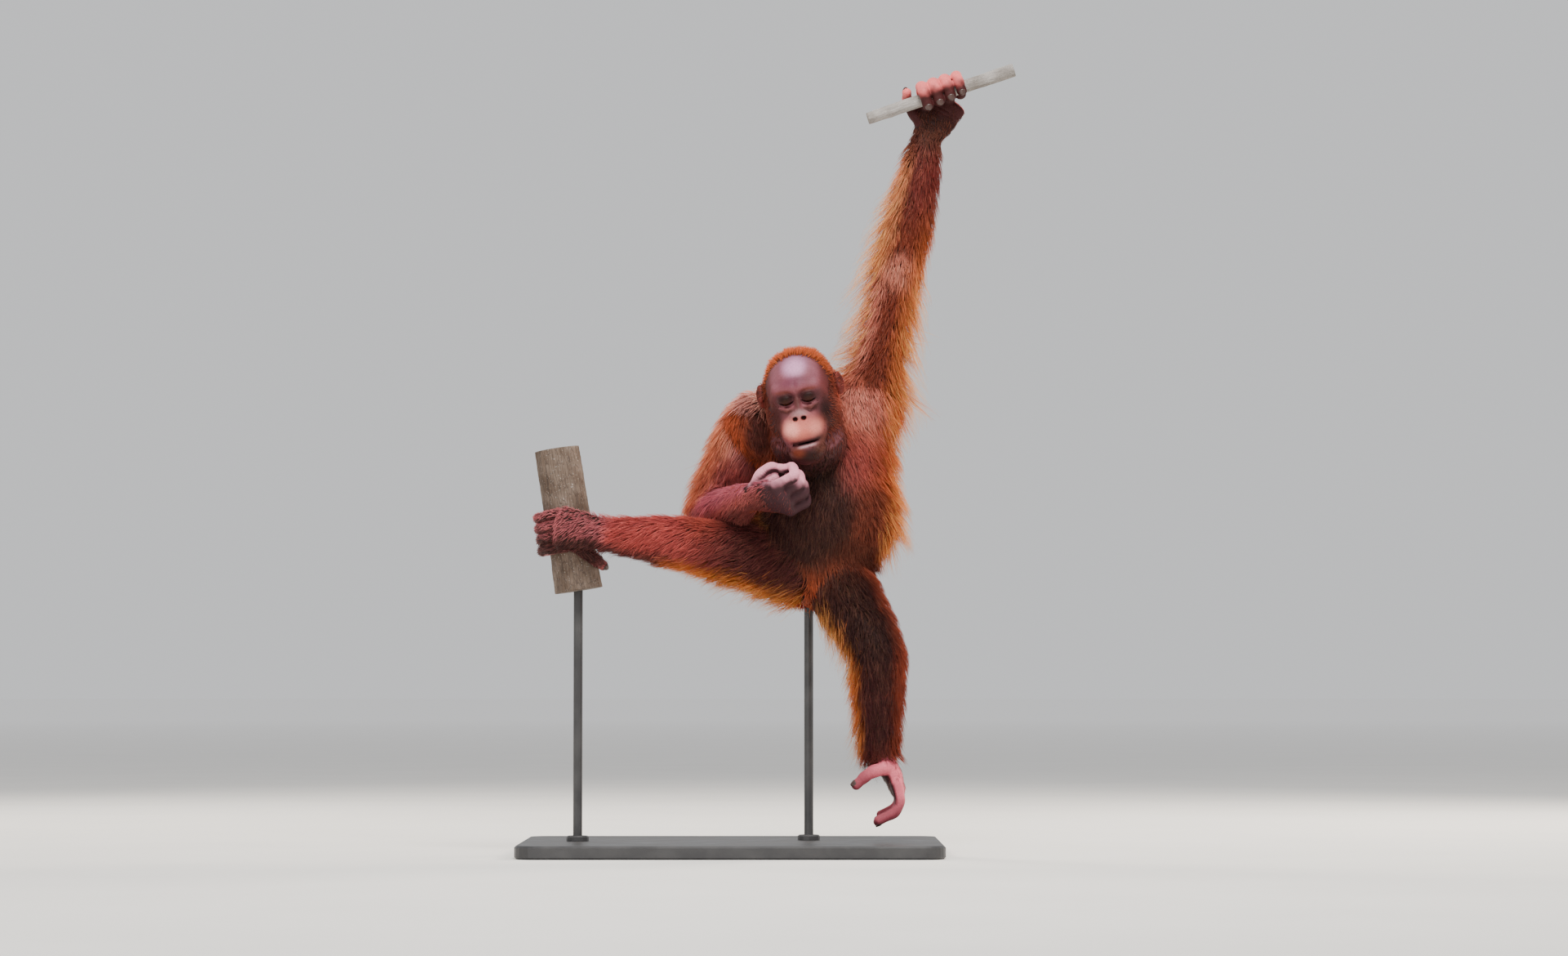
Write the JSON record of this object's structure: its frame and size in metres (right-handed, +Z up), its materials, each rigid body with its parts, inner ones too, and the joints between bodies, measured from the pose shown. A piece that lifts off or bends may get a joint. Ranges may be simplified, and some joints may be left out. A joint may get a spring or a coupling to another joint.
{
  "type": "orangutan model",
  "caption": "Still, life-size model of a young orangutan hanging by one hand from a branch, one foot gripping a tree stem, on a plain display stand.",
  "frame": {"origin": "middle of the stand base's underside", "axes": "+Z up; the animal faces -Y with its left side towards +X; the raised left arm is above, the stretched right leg runs towards -X"},
  "size_m": [0.7575, 0.4, 1.2125],
  "materials": {
    "coat": "long shaggy orange-brown hair",
    "face_skin": "bare grey-brown skin",
    "bare_skin": "bare or thinly haired skin of hands, feet and ears",
    "eye": "wet dark brown",
    "bark": "rough pale bark",
    "stand_paint": "satin dark paint"
  },
  "bodies": {
    "root": {"ear_left": "bare_skin", "ear_right": "bare_skin", "eye_left": "eye", "eye_right": "eye", "finger_left_index": "bare_skin", "finger_left_little": "bare_skin", "finger_left_middle": "bare_skin", "finger_left_ring": "bare_skin", "finger_right_index": "bare_skin", "finger_right_little": "bare_skin", "finger_right_middle": "bare_skin", "finger_right_ring": "bare_skin", "foot_left": "bare_skin", "foot_right": "bare_skin", "forearm_left": "coat", "forearm_right": "coat", "hand_left": "bare_skin", "hand_right": "bare_skin", "head": "face_skin", "neck": "coat", "perch_branch": "bark", "perch_stem": "bark", "shin_left": "coat", "shin_right": "coat", "stand_base": "stand_paint", "stand_rod_rump": "stand_paint", "stand_rod_stem": "stand_paint", "thigh_left": "coat", "thigh_right": "coat", "thumb_left": "bare_skin", "thumb_right": "bare_skin", "toe_left_fifth": "bare_skin", "toe_left_fourth": "bare_skin", "toe_left_great": "bare_skin", "toe_left_second": "bare_skin", "toe_left_third": "bare_skin", "toe_right_fifth": "bare_skin", "toe_right_fourth": "bare_skin", "toe_right_great": "bare_skin", "toe_right_second": "bare_skin", "toe_right_third": "bare_skin", "torso": "coat", "upper_arm_left": "coat", "upper_arm_right": "coat"}
  },
  "joints": []
}
